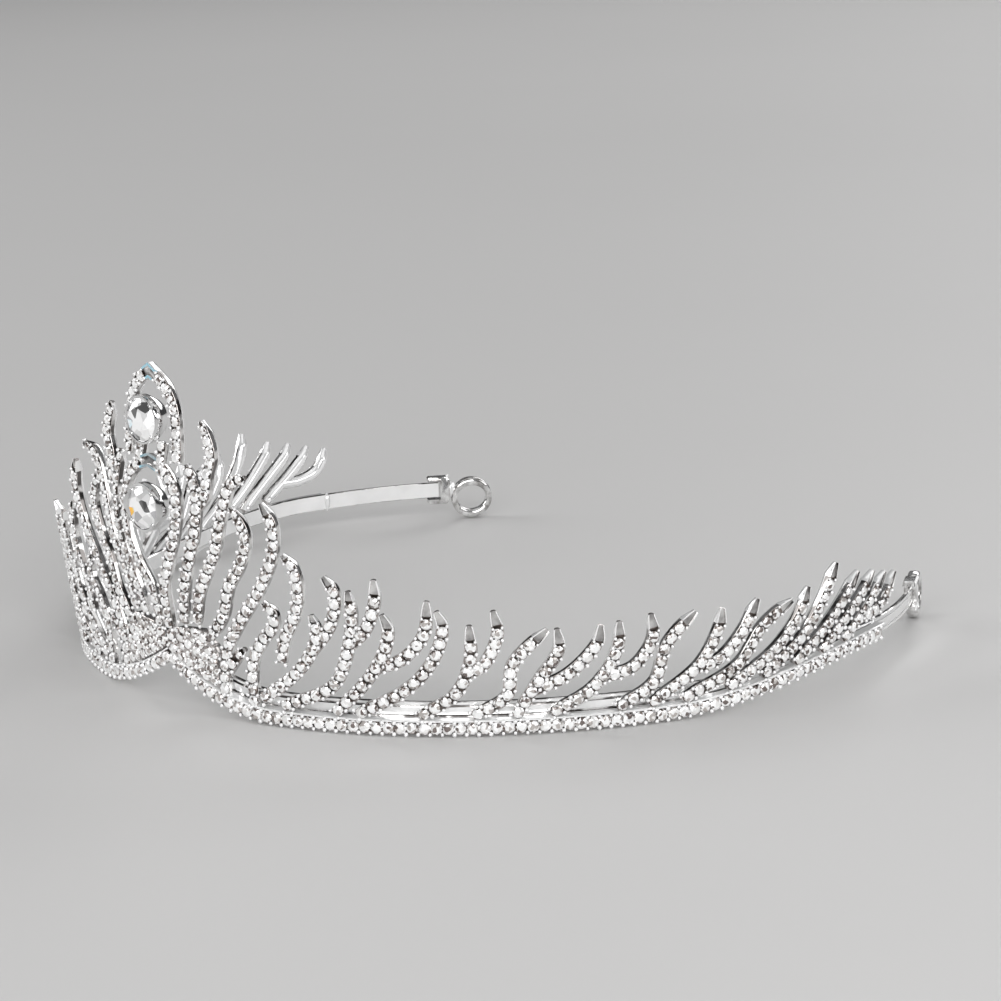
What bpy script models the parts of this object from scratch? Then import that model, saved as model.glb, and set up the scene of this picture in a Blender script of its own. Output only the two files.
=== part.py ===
"""Bridal tiara: an open band with rhinestone flames and two large crystals on the centre line.

Frame: metres, +Z up, the wearer's face looks along -Y, the ends of the band point back to +Y.
The origin is on the surface that the tiara stands on, under the middle of the whole piece.

Most pieces lie in one curved wall.  A place in it is (s, h, out), in millimetres:
  s    distance along the base line from the centre line, the same on both sides
  h    height above a level line, RAIL_DROP over the surface that the tiara stands on
  out  distance out of the wall, away from the wearer's head; castings have their front at 0
"""

import math

import bmesh
import bpy
import numpy as np
from mathutils import Matrix, Vector

MM = 0.001
GAP = 0.3
FRONT_TO_MIDDLE = 65.827

# Base line: on each side a front stretch and an arm, with the radius at each one's start and end.
FRONT_LENGTH = 60.0
FRONT_RADII = (81.0, 68.0)
ARM_LENGTH = 120.0
ARM_RADII = (105.0, 71.5)

# Lower edge: RAIL_DROP below h = 0 at the sides, with a notch at the front and a slow rise to the ends.
RAIL_DROP = 0.75
NOTCH_HEIGHT = 7.8
NOTCH_LENGTH = 25.0
END_RISE = 5.0
RISE_START = 95.0
RISE_LENGTH = 50.0

# Wall: how far it leans out for each millimetre of height, and the belly behind the crystals.
LEAN_PLACES = (0.0, 12.0, 22.0, 32.0, 45.0, 90.0, 150.0)
LEANS = (0.03, 0.03, 0.07, 0.12, 0.15, 0.10, 0.08)
BELLY_DEPTH = 3.4
BELLY_HEIGHT = 32.0
BELLY_SPREAD = 13.0
BELLY_LENGTH = 22.0

# Base rail, apron, inner band and end straps.
RAIL_HEIGHT = 2.85
RAIL_DEPTH = 2.0
RAIL_END = 148.6
BAND_HEIGHT = 3.3
BAND_THICK = 0.8
BAND_OUT = -2.7
BAND_LIFT = 2.2
STRAP_START = 148.9
STRAP_END = 175.2
STRAP_LOW = 4.1
APRON_DEPTH = 2.0
APRON_TOP = ((0.0, 11.0), (2.6, 11.0), (2.9, 14.0), (7.2, 14.4), (9.4, 14.5), (10.4, 12.6), (12.2, 12.0),
             (12.7, 9.8))

# Flames.
FLAME_WIDTH = 2.2
FLAME_DEPTH = 2.0
BRANCH_DEPTH = 1.6
FLAME_STEP = 2.6
TIP_LENGTH = 5.0
TIP_WIDTH = 0.5
ROOT_LENGTH = 3.0
ROOT_WIDTH = 1.5

# The two pointed frames on the centre line, from the tip down the right side, as (s, h).
OUTER_FRAME = ((0.0, 60.1), (3.6, 57.8), (5.4, 55.0), (6.2, 51.6), (6.6, 44.6))
INNER_FRAME = ((0.0, 44.3), (3.4, 43.1), (5.9, 40.6), (7.1, 37.0), (6.5, 31.6), (4.1, 25.6),
               (1.9, 21.4), (1.35, 17.0), (1.35, 11.4))

# Each flame: the trunk's (s, h) points from root to tip, then its branch's, where it has one.
FLAMES = (
    (((5.2, 15.0), (6.8, 21.4), (10.1, 30.8), (11.0, 36.6), (10.6, 40.6), (9.0, 44.6)),
     ((10.9, 36.8), (12.7, 39.6), (13.2, 43.2), (14.2, 47.0), (12.3, 52.6))),
    (((8.5, 15.4), (10.0, 21.2), (14.2, 29.2), (16.0, 35.8), (18.3, 41.8), (22.0, 43.8)), ()),
    (((11.2, 13.2), (14.8, 18.0), (16.6, 23.4), (19.4, 27.8), (20.9, 33.0), (18.5, 38.2)), ()),
    (((13.9, 4.2), (14.6, 10.6), (17.8, 16.4), (22.9, 23.4), (26.3, 29.8), (27.1, 35.4), (25.3, 39.8)),
     ((14.4, 7.4), (16.7, 10.2), (19.2, 12.5))),
    (((20.3, 2.9), (20.5, 9.8), (22.8, 14.2), (25.4, 17.2), (25.8, 19.6), (24.0, 21.8)), ()),
    (((26.8, 10.9), (27.6, 15.0), (30.4, 20.6), (31.2, 25.2), (30.6, 28.6), (28.9, 31.0)), ()),
    (((22.5, 4.0), (28.6, 8.5), (32.6, 13.2), (34.1, 17.4), (33.5, 20.6)),
     ((33.0, 13.8), (36.6, 18.6), (38.0, 24.2), (36.3, 27.8))),
    (((26.8, 3.1), (35.6, 7.1), (38.8, 12.0), (40.6, 19.6), (40.5, 25.5)),
     ((39.5, 15.0), (43.0, 18.6), (44.8, 23.4), (45.0, 27.8))),
    (((36.8, 3.1), (42.0, 8.4), (45.6, 13.8), (46.9, 18.4), (46.0, 21.5)),
     ((44.2, 11.4), (49.0, 13.3), (52.8, 18.0), (53.5, 24.0))),
    (((41.0, 3.1), (49.0, 7.4), (53.9, 12.8), (55.9, 18.8), (55.0, 22.2)), ()),
    (((51.9, 3.1), (57.6, 6.8), (60.3, 12.8), (60.3, 19.5)),
     ((59.2, 10.2), (62.8, 12.4), (65.0, 17.6), (64.3, 22.0))),
    (((61.2, 3.1), (66.4, 6.2), (67.6, 12.2), (73.4, 18.2)), ()),
    (((68.3, 3.0), (72.2, 9.2), (75.3, 14.0), (75.0, 18.2)),
     ((70.6, 6.8), (77.0, 9.6), (81.8, 14.4), (82.6, 18.2))),
    (((74.8, 3.1), (81.4, 6.8), (85.6, 13.4), (85.8, 18.6)),
     ((82.8, 8.6), (88.6, 9.9), (92.0, 14.6), (91.5, 19.3))),
    (((86.5, 3.1), (92.4, 6.6), (94.6, 13.2), (99.8, 18.8)), ()),
    (((92.5, 3.1), (100.6, 8.3), (104.4, 14.4), (105.0, 18.6)),
     ((100.2, 8.0), (105.4, 9.4), (110.0, 14.2), (112.2, 19.2))),
    (((98.8, 3.2), (108.6, 7.3), (113.8, 13.8), (120.0, 17.6)), ()),
    (((107.7, 4.0), (116.2, 8.5), (122.0, 14.2), (123.6, 19.4)), ()),
    (((115.0, 5.0), (123.0, 10.0), (128.4, 16.8), (130.5, 22.5)), ()),
    (((122.4, 6.0), (129.2, 10.8), (134.6, 16.0), (137.0, 19.6)), ()),
    (((129.0, 6.9), (134.8, 11.4), (139.8, 15.6), (142.0, 18.6)), ()),
    (((135.0, 7.7), (139.8, 11.0), (144.2, 14.8), (146.4, 17.4)),
     ((138.8, 10.4), (143.6, 10.5), (147.9, 12.2), (150.6, 16.5))),
)

# The two posts that stand on the inner frame's shoulders, under the upper bezel.
POST_PLACE = 2.9
POST_FOOT = 43.4
POST_TOP = 47.2
POST_WIDTH = 1.7

# Crystals and their bezels: height, crystal radius, how far the girdle stands out, length of the lugs.
UPPER_CRYSTAL = (51.6, 3.7, 3.6, 0.4)
LOWER_CRYSTAL = (36.0, 3.7, 4.15, 1.2)
CROWN_HEIGHT = 0.36
CRYSTAL_SIDES = 16
BEZEL_WALL = 0.4
BEZEL_SIDES = 32
BEZEL_FRONT = 0.3
BEZEL_BACK = -3.3

# End clamps and end rings.
CLAMP_BACK = 177.6
CLAMP_LIP = 1.0
CLAMP_THICK = 2.4
CLAMP_GRIP = 2.4
RING_RADIUS = 4.5
RING_HOLE_WIDE = 3.1
RING_HOLE_HIGH = 2.6
RING_THICK = 2.4
RING_SIDES = 32


def smooth_step(value):
    """Rise smoothly from 0 to 1 while value goes from 0 to 1."""
    value = min(max(value, 0.0), 1.0)
    return value * value * (3.0 - 2.0 * value)


def turned(place, length, radii):
    """Angle turned by place on a stretch whose bend changes evenly from one radius to the other."""
    place = min(max(place, 0.0), length)
    change = 1.0 / radii[1] - 1.0 / radii[0]
    return place / radii[0] + change * place * place / (2.0 * length)


def heading(s):
    """Direction of the base line at s, in radians."""
    return turned(s, FRONT_LENGTH, FRONT_RADII) + turned(s - FRONT_LENGTH, ARM_LENGTH, ARM_RADII)


def base_line(step=0.5, end=200.0):
    """The base line's s, x and y, found by following its heading."""
    s = np.arange(0.0, end + step, step)
    middle = [heading(a + step / 2.0) for a in s[:-1]]
    x = np.concatenate(([0.0], np.cumsum(np.cos(middle)) * step))
    y = np.concatenate(([0.0], np.cumsum(np.sin(middle)) * step))
    return s, x, y


BASE_S, BASE_X, BASE_Y = base_line()


def lower_edge(s):
    """Height of the rail's lower edge at s."""
    notch = max(0.0, 1.0 - s / NOTCH_LENGTH)
    rise = END_RISE * smooth_step((s - RISE_START) / RISE_LENGTH)
    return NOTCH_HEIGHT * notch * notch + rise - RAIL_DROP


def wall_out(s, h):
    """How far the wall stands outside the base line at (s, h)."""
    belly = BELLY_DEPTH * math.exp(-((h - BELLY_HEIGHT) / BELLY_SPREAD) ** 2)
    return np.interp(abs(s), LEAN_PLACES, LEANS) * h + belly * smooth_step(1.0 - abs(s) / BELLY_LENGTH)


def upright_point(s, h, out):
    """A point outside the base line by out; a negative s is on the left side."""
    side = -1.0 if s < 0.0 else 1.0
    angle = heading(abs(s))
    x = np.interp(abs(s), BASE_S, BASE_X) + math.sin(angle) * out
    y = np.interp(abs(s), BASE_S, BASE_Y) - math.cos(angle) * out
    return Vector((side * x, y, h)) * MM


def wall_point(s, h, out):
    """A point of the wall, moved out of it by out."""
    return upright_point(s, h, wall_out(s, h) + out)


def material(name, colour, roughness, metallic, transmission=0.0):
    """A plain Principled material."""
    made = bpy.data.materials.new(name)
    made.use_nodes = True
    shader = made.node_tree.nodes["Principled BSDF"]
    shader.inputs["Base Color"].default_value = (*colour, 1.0)
    shader.inputs["Roughness"].default_value = roughness
    shader.inputs["Metallic"].default_value = metallic
    shader.inputs["Transmission Weight"].default_value = transmission
    return made


def finish_object(name, bm, look, parent, smooth=False):
    """Turn a bmesh into a named object with outward faces."""
    bmesh.ops.recalc_face_normals(bm, faces=bm.faces)
    mesh = bpy.data.meshes.new(name)
    bm.to_mesh(mesh)
    bm.free()
    mesh.materials.append(look)
    if smooth:
        mesh.shade_smooth()
        mesh.set_sharp_from_angle(angle=math.radians(40.0))
    made = bpy.data.objects.new(name, mesh)
    made.parent = parent
    bpy.context.collection.objects.link(made)
    return made


def skin(rings, closed=False):
    """A bmesh through rings of points; open ends are capped."""
    bm = bmesh.new()
    made = [[bm.verts.new(point) for point in ring] for ring in rings]
    pairs = list(zip(made, made[1:]))
    if closed:
        pairs.append((made[-1], made[0]))
    for first, second in pairs:
        for i in range(len(first)):
            j = (i + 1) % len(first)
            bm.faces.new((first[i], first[j], second[j], second[i]))
    if not closed:
        bm.faces.new(made[0])
        bm.faces.new(made[-1])
    return bm


def smooth_path(points, step):
    """Points about step apart on a smooth curve through the given (s, h) points."""
    given = [np.array(point, dtype=float) for point in points]
    given = [2.0 * given[0] - given[1]] + given + [2.0 * given[-1] - given[-2]]
    path = []
    for i in range(1, len(given) - 2):
        a, b, c, d = given[i - 1:i + 3]
        count = max(1, round(float(np.linalg.norm(c - b)) / step))
        for t in (k / count for k in range(count)):
            bend = b + 0.5 * t * (c - a)
            bend = bend + t * t * (a - 2.5 * b + 2.0 * c - 0.5 * d)
            path.append(bend + t * t * t * (1.5 * b - 1.5 * c + 0.5 * d - 0.5 * a))
    path.append(given[-2])
    return path


def strand(path, widths, depth, side):
    """A four-sided bar in the wall along path, as wide as widths say."""
    rings = []
    for i, (s, h) in enumerate(path):
        before = path[max(i - 1, 0)]
        after = path[min(i + 1, len(path) - 1)]
        along = (after - before) / np.linalg.norm(after - before)
        half = widths[i] / 2.0
        across = np.array((-along[1], along[0])) * half
        thin = depth / 2.0 * max(0.0, 1.0 - widths[i] / ROOT_WIDTH)
        front = -thin - (FLAME_DEPTH - depth) / 2.0
        back = front - depth + 2.0 * thin
        ring = []
        for edge, out in ((1, back), (1, front), (-1, front), (-1, back)):
            place = np.array((s, h)) + edge * across
            ring.append(wall_point(side * place[0], place[1], out))
        rings.append(ring)
    return skin(rings)


def flame_widths(path, root=ROOT_WIDTH):
    """Narrow root, full width, then a pointed tip."""
    steps = [float(np.linalg.norm(b - a)) for a, b in zip(path, path[1:])]
    run = np.concatenate(([0.0], np.cumsum(steps)))
    from_tip = run[-1] - run
    grow = np.interp(run, (0.0, ROOT_LENGTH), (root, FLAME_WIDTH))
    fade = np.interp(from_tip, (0.0, TIP_LENGTH), (TIP_WIDTH, FLAME_WIDTH))
    return np.minimum(grow, fade)


def join_bar(made, name, bar, look, parent):
    """Make a bar part of the casting that it grows out of."""
    guide = finish_object(name + "_guide", bar, look, parent)
    guide.hide_render = True
    guide.display_type = "WIRE"
    union = made.modifiers.new(name, "BOOLEAN")
    union.operation = "UNION"
    union.solver = "EXACT"
    union.object = guide


def flame(name, trunk, branch, side, look, parent):
    """One flame: a trunk, and a branch that grows out of it as the same casting."""
    path = smooth_path(trunk, FLAME_STEP)
    made = finish_object(name, strand(path, flame_widths(path), FLAME_DEPTH, side), look, parent)
    if branch:
        path = smooth_path(branch, FLAME_STEP)
        bar = strand(path, flame_widths(path, FLAME_WIDTH), BRANCH_DEPTH, side)
        join_bar(made, name + "_branch", bar, look, parent)


def add_posts(made, look, parent):
    """Two short posts on the inner frame's shoulders."""
    for side, word in ((1, "right"), (-1, "left")):
        path = [np.array((POST_PLACE, h)) for h in (POST_FOOT, POST_TOP)]
        bar = strand(path, [POST_WIDTH] * len(path), BRANCH_DEPTH, side)
        join_bar(made, "inner_frame_post_" + word, bar, look, parent)


def pointed_frame(name, half, look, parent):
    """A pointed frame across the centre line: left foot, tip, right foot."""
    right = smooth_path(half, FLAME_STEP)
    left = [np.array((-s, h)) for s, h in right[:0:-1]]
    path = left + right
    rings = []
    for i, (s, h) in enumerate(path):
        before = path[max(i - 1, 0)]
        after = path[min(i + 1, len(path) - 1)]
        along = (after - before) / np.linalg.norm(after - before)
        mitre = np.linalg.norm(after - (s, h)) / after[0] if s == 0.0 else 1.0
        across = np.array((-along[1], along[0])) * mitre * FLAME_WIDTH / 2.0
        ring = []
        for edge, out in ((1, -FLAME_DEPTH), (1, 0.0), (-1, 0.0), (-1, -FLAME_DEPTH)):
            place = np.array((s, h)) + edge * across
            ring.append(wall_point(place[0], place[1], out))
        rings.append(ring)
    return finish_object(name, skin(rings), look, parent)


def ribbon(places, low, high, inner, outer, point):
    """An upright strip between heights low(s) and high(s)."""
    rings = []
    for s in places:
        bottom, top = low(abs(s)), high(abs(s))
        corners = ((bottom, inner), (bottom, outer), (top, outer), (top, inner))
        rings.append([point(s, h, out) for h, out in corners])
    return skin(rings)


def spaced(start, end, step):
    """Evenly spaced places from start to end, about step apart."""
    return np.linspace(start, end, max(2, round(abs(end - start) / step) + 1))


def rail_places():
    """Closer together in the notch, where the rail bends most."""
    return list(spaced(0.15, NOTCH_LENGTH, 1.8)) + list(spaced(NOTCH_LENGTH, RAIL_END, 3.2))[1:]


def rail_high(s):
    """Height of the rail's upper edge at s."""
    return lower_edge(s) + RAIL_HEIGHT


def band_low(s):
    """Lower edge of the inner band: above the rail's at the front, level with the strap's at the end."""
    drop = BAND_LIFT + END_RISE - RAIL_DROP - STRAP_LOW
    return lower_edge(s) + BAND_LIFT - drop * smooth_step((s - RISE_START) / (RAIL_END - RISE_START))


def apron_high(s):
    """Upper edge of the apron."""
    places, heights = zip(*APRON_TOP)
    return float(np.interp(s, places, heights))


def make_band(look, parent):
    """The inner band and the base rails, apron and straps that run along it."""
    places = [-s for s in reversed(rail_places())] + rail_places()
    inner, outer = BAND_OUT - BAND_THICK / 2.0, BAND_OUT + BAND_THICK / 2.0
    bm = ribbon(places, band_low, lambda s: band_low(s) + BAND_HEIGHT, inner, outer, upright_point)
    finish_object("inner_band", bm, look, parent)
    for side, word in ((1, "right"), (-1, "left")):
        places = [side * s for s in rail_places()]
        bm = ribbon(places, lower_edge, rail_high, -RAIL_DEPTH, 0.0, upright_point)
        finish_object("base_rail_" + word, bm, look, parent)
        places = [side * s for s in spaced(STRAP_START, STRAP_END, 3.2)]
        strap_high = STRAP_LOW + BAND_HEIGHT
        bm = ribbon(places, lambda s: STRAP_LOW, lambda s: strap_high, inner, outer, upright_point)
        finish_object("end_strap_" + word, bm, look, parent)


def make_apron(look, parent):
    """The stone-set plate above the notch, from which the front flames rise."""
    end = APRON_TOP[-1][0]
    places = sorted({*spaced(-end, end, 1.8), *(s for s, h in APRON_TOP), *(-s for s, h in APRON_TOP)})
    bm = ribbon(places, lambda s: rail_high(s) + GAP, apron_high, -APRON_DEPTH, 0.0, wall_point)
    finish_object("front_apron", bm, look, parent)


def facing_out(s, h, out):
    """A placement whose Z axis points out of the wall."""
    angle = heading(abs(s))
    away = Matrix.Rotation(angle if s >= 0.0 else -angle, 4, "Z") @ Matrix.Rotation(math.pi / 2.0, 4, "X")
    return Matrix.Translation(upright_point(s, h, out)) @ away


def circle(radius, depth, sides, turn=0.0):
    """Points of a circle at a depth along Z, in metres."""
    angles = [2.0 * math.pi * (i + turn) / sides for i in range(sides)]
    return [Vector((radius * math.cos(a), radius * math.sin(a), depth)) * MM for a in angles]


def make_crystal(name, height, radius, girdle_out, look, parent):
    """A round cut crystal: table, crown, girdle and pointed back."""
    rings = [
        circle(radius * 0.05, -radius * 0.50, CRYSTAL_SIDES),
        circle(radius * 0.55, -radius * 0.26, CRYSTAL_SIDES),
        circle(radius, 0.0, CRYSTAL_SIDES),
        circle(radius, radius * 0.06, CRYSTAL_SIDES),
        circle(radius * 0.80, radius * 0.24, CRYSTAL_SIDES, 0.5),
        circle(radius * 0.52, radius * CROWN_HEIGHT, CRYSTAL_SIDES),
    ]
    made = finish_object(name, skin(rings), look, parent)
    made.matrix_local = facing_out(0.0, height, girdle_out)


def make_bezel(name, height, radius, girdle_out, lug_length, look, parent):
    """A collar round a crystal, with a pointed lug towards the frame at each side."""
    rings = []
    for i in range(BEZEL_SIDES):
        angle = 2.0 * math.pi * i / BEZEL_SIDES
        direction = Vector((math.cos(angle), math.sin(angle), 0.0))
        lug = lug_length if i % (BEZEL_SIDES // 2) == 0 else 0.0
        inner, outer = radius + GAP, radius + GAP + BEZEL_WALL + lug
        corners = ((inner, BEZEL_BACK), (outer, BEZEL_BACK), (outer, BEZEL_FRONT), (inner, BEZEL_FRONT))
        rings.append([(direction * r + Vector((0.0, 0.0, z))) * MM for r, z in corners])
    made = finish_object(name, skin(rings, closed=True), look, parent, smooth=True)
    made.matrix_local = facing_out(0.0, height, girdle_out)


def make_end_fitting(side, word, look, parent):
    """The clamp on the strap's end, and the ring behind it."""
    middle = STRAP_LOW + BAND_HEIGHT / 2.0
    slot = BAND_HEIGHT / 2.0 + GAP
    lip = slot + CLAMP_LIP
    mouth, web, back = -CLAMP_GRIP, GAP, CLAMP_BACK - STRAP_END
    outline = ((mouth, -lip), (back, -lip), (back, lip), (mouth, lip),
               (mouth, slot), (web, slot), (web, -slot), (mouth, -slot))
    rings = [[Vector((side * x, y, z)) * MM for x, y in outline]
             for z in (-CLAMP_THICK / 2.0, CLAMP_THICK / 2.0)]
    clamp = finish_object("end_clamp_" + word, skin(rings), look, parent)
    strap_end = facing_out(side * STRAP_END, middle, BAND_OUT)
    clamp.matrix_local = strap_end

    rings = []
    for i in range(RING_SIDES):
        angle = 2.0 * math.pi * i / RING_SIDES
        across, up = math.cos(angle), math.sin(angle)
        ring = []
        for wide, high, z in ((RING_HOLE_WIDE, RING_HOLE_HIGH, -1), (RING_RADIUS, RING_RADIUS, -1),
                              (RING_RADIUS, RING_RADIUS, 1), (RING_HOLE_WIDE, RING_HOLE_HIGH, 1)):
            ring.append(Vector((wide * across, high * up, z * RING_THICK / 2.0)) * MM)
        rings.append(ring)
    eye = finish_object("end_ring_" + word, skin(rings, closed=True), look, parent, smooth=True)
    reach = CLAMP_BACK - STRAP_END + GAP + RING_RADIUS
    sink = RING_RADIUS - RAIL_DROP - middle
    eye.matrix_local = strap_end @ Matrix.Translation(Vector((side * reach, sink, 0.0)) * MM)


def main():
    for old in list(bpy.data.objects):
        bpy.data.objects.remove(old)
    tiara = bpy.data.objects.new("tiara", None)
    tiara.location = Vector((0.0, -FRONT_TO_MIDDLE, RAIL_DROP)) * MM
    bpy.context.collection.objects.link(tiara)
    silver = material("silver_casting", (0.80, 0.80, 0.82), 0.18, 1.0)
    polished = material("polished_strip", (0.88, 0.88, 0.89), 0.08, 1.0)
    glass = material("cut_crystal", (0.95, 0.97, 1.0), 0.02, 0.0, 1.0)

    make_band(polished, tiara)
    make_apron(silver, tiara)
    pointed_frame("outer_frame", OUTER_FRAME, silver, tiara)
    add_posts(pointed_frame("inner_frame", INNER_FRAME, silver, tiara), silver, tiara)
    for side, word in ((1, "right"), (-1, "left")):
        for number, (trunk, branch) in enumerate(FLAMES, start=1):
            flame(f"flame_{number:02d}_{word}", trunk, branch, side, silver, tiara)
        make_end_fitting(side, word, polished, tiara)
    for word, (height, radius, girdle_out, lug) in (("upper", UPPER_CRYSTAL), ("lower", LOWER_CRYSTAL)):
        make_crystal(word + "_crystal", height, radius, girdle_out, glass, tiara)
        make_bezel(word + "_bezel", height, radius, girdle_out, lug, polished, tiara)


main()
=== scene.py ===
"""Bridal tiara: stones, beads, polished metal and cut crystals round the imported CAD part.

The CAD frame: metres, +Z up, the wearer's face looks along -Y.  Shapes are made in millimetres in the
tiara's wall, where a place is (s, h, out): s along the base line from the centre line, negative on the
left; h above a level line RAIL_DROP over the floor; out of the wall from the castings' front faces.
"""

import math

import bmesh
import bpy
import numpy as np
from mathutils import Matrix, Vector


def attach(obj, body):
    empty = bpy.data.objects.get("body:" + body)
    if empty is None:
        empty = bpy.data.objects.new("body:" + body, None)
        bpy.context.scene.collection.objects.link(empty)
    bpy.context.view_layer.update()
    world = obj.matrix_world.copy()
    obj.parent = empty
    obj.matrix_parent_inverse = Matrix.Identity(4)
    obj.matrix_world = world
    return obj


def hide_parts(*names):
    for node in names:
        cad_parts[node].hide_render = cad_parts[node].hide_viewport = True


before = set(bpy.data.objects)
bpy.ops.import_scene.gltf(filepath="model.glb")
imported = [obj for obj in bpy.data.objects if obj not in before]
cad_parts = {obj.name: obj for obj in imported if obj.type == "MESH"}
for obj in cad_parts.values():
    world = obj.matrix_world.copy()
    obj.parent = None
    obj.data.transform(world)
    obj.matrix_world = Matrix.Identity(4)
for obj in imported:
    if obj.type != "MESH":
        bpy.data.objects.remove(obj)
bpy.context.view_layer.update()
draw = np.random.RandomState(7)
MM = 0.001

# ---------------- the wall and its castings, as in the CAD
FRONT_TO_MIDDLE = 65.827

# Base line: a front stretch and an arm on each side, with the radius at each one's start and end.
FRONT_LENGTH = 60.0
FRONT_RADII = (81.0, 68.0)
ARM_LENGTH = 120.0
ARM_RADII = (105.0, 71.5)

# Lower edge: a notch at the front and a slow rise to the ends.
RAIL_DROP = 0.75
NOTCH_HEIGHT = 7.8
NOTCH_LENGTH = 25.0
END_RISE = 5.0
RISE_START = 95.0
RISE_LENGTH = 50.0

# Wall: how far it leans out for each millimetre of height, and the belly behind the crystals.
LEAN_PLACES = (0.0, 12.0, 22.0, 32.0, 45.0, 90.0, 150.0)
LEANS = (0.03, 0.03, 0.07, 0.12, 0.15, 0.10, 0.08)
BELLY_DEPTH = 3.4
BELLY_HEIGHT = 32.0
BELLY_SPREAD = 13.0
BELLY_LENGTH = 22.0

# Base rails, inner band, end straps and apron.
GAP = 0.3
RAIL_HEIGHT = 2.85
RAIL_START = 0.15
RAIL_END = 148.6
BAND_HEIGHT = 3.3
BAND_THICK = 0.8
BAND_OUT = -2.7
BAND_LIFT = 2.2
STRAP_START = 148.9
STRAP_END = 175.2
STRAP_LOW = 4.1
APRON_TOP = ((0.0, 11.0), (2.6, 11.0), (2.9, 14.0), (7.2, 14.4), (9.4, 14.5), (10.4, 12.6),
             (12.2, 12.0), (12.7, 9.8))

# Right halves of the pointed frames from the tip down, and the posts on the inner one's shoulders, which
# stand a little higher than in the CAD.
OUTER_FRAME = ((0.0, 60.1), (3.6, 57.8), (5.4, 55.0), (6.2, 51.6), (6.6, 44.6))
INNER_FRAME = ((0.0, 44.3), (3.4, 43.1), (5.9, 40.6), (7.1, 37.0), (6.5, 31.6), (4.1, 25.6),
               (1.9, 21.4), (1.35, 17.0), (1.35, 11.4))
POST_PLACE = 2.9
POST_FOOT = 44.0
POST_TOP = 47.9

# Each flame: the trunk's (s, h) points from root to tip, then its branch's, where it has one.
FLAMES = (
    (((5.2, 15.0), (6.8, 21.4), (10.1, 30.8), (11.0, 36.6), (10.6, 40.6), (9.0, 44.6)),
     ((10.9, 36.8), (12.7, 39.6), (13.2, 43.2), (14.2, 47.0), (12.3, 52.6))),
    (((8.5, 15.4), (10.0, 21.2), (14.2, 29.2), (16.0, 35.8), (18.3, 41.8), (22.0, 43.8)), ()),
    (((11.2, 13.2), (14.8, 18.0), (16.6, 23.4), (19.4, 27.8), (20.9, 33.0), (18.5, 38.2)), ()),
    (((13.9, 4.2), (14.6, 10.6), (17.8, 16.4), (22.9, 23.4), (26.3, 29.8), (27.1, 35.4), (25.3, 39.8)),
     ((14.4, 7.4), (16.7, 10.2), (19.2, 12.5))),
    (((20.3, 2.9), (20.5, 9.8), (22.8, 14.2), (25.4, 17.2), (25.8, 19.6), (24.0, 21.8)), ()),
    (((26.8, 10.9), (27.6, 15.0), (30.4, 20.6), (31.2, 25.2), (30.6, 28.6), (28.9, 31.0)), ()),
    (((22.5, 4.0), (28.6, 8.5), (32.6, 13.2), (34.1, 17.4), (33.5, 20.6)),
     ((33.0, 13.8), (36.6, 18.6), (38.0, 24.2), (36.3, 27.8))),
    (((26.8, 3.1), (35.6, 7.1), (38.8, 12.0), (40.6, 19.6), (40.5, 25.5)),
     ((39.5, 15.0), (43.0, 18.6), (44.8, 23.4), (45.0, 27.8))),
    (((36.8, 3.1), (42.0, 8.4), (45.6, 13.8), (46.9, 18.4), (46.0, 21.5)),
     ((44.2, 11.4), (49.0, 13.3), (52.8, 18.0), (53.5, 24.0))),
    (((41.0, 3.1), (49.0, 7.4), (53.9, 12.8), (55.9, 18.8), (55.0, 22.2)), ()),
    (((51.9, 3.1), (57.6, 6.8), (60.3, 12.8), (60.3, 19.5)),
     ((59.2, 10.2), (62.8, 12.4), (65.0, 17.6), (64.3, 22.0))),
    (((61.2, 3.1), (66.4, 6.2), (67.6, 12.2), (73.4, 18.2)), ()),
    (((68.3, 3.0), (72.2, 9.2), (75.3, 14.0), (75.0, 18.2)),
     ((70.6, 6.8), (77.0, 9.6), (81.8, 14.4), (82.6, 18.2))),
    (((74.8, 3.1), (81.4, 6.8), (85.6, 13.4), (85.8, 18.6)),
     ((82.8, 8.6), (88.6, 9.9), (92.0, 14.6), (91.5, 19.3))),
    (((86.5, 3.1), (92.4, 6.6), (94.6, 13.2), (99.8, 18.8)), ()),
    (((92.5, 3.1), (100.6, 8.3), (104.4, 14.4), (105.0, 18.6)),
     ((100.2, 8.0), (105.4, 9.4), (110.0, 14.2), (112.2, 19.2))),
    (((98.8, 3.2), (108.6, 7.3), (113.8, 13.8), (120.0, 17.6)), ()),
    (((107.7, 4.0), (116.2, 8.5), (122.0, 14.2), (123.6, 19.4)), ()),
    (((115.0, 5.0), (123.0, 10.0), (128.4, 16.8), (130.5, 22.5)), ()),
    (((122.4, 6.0), (129.2, 10.8), (134.6, 16.0), (137.0, 19.6)), ()),
    (((129.0, 6.9), (134.8, 11.4), (139.8, 15.6), (142.0, 18.6)), ()),
    (((135.0, 7.7), (139.8, 11.0), (144.2, 14.8), (146.4, 17.4)),
     ((138.8, 10.4), (143.6, 10.5), (147.9, 12.2), (150.6, 16.5))),
)

# Crystals: height, radius, how far the girdle stands out, length of the collar's lugs.
UPPER_CRYSTAL = (51.6, 3.7, 3.6, 0.4)
LOWER_CRYSTAL = (36.0, 3.7, 4.15, 1.2)


def smooth_step(value):
    """Rise smoothly from 0 to 1 while value goes from 0 to 1."""
    value = min(max(value, 0.0), 1.0)
    return value * value * (3.0 - 2.0 * value)


def turned(place, length, radii):
    """Angle turned by place on a stretch whose bend changes evenly from one radius to the other."""
    place = min(max(place, 0.0), length)
    change = 1.0 / radii[1] - 1.0 / radii[0]
    return place / radii[0] + change * place * place / (2.0 * length)


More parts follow.
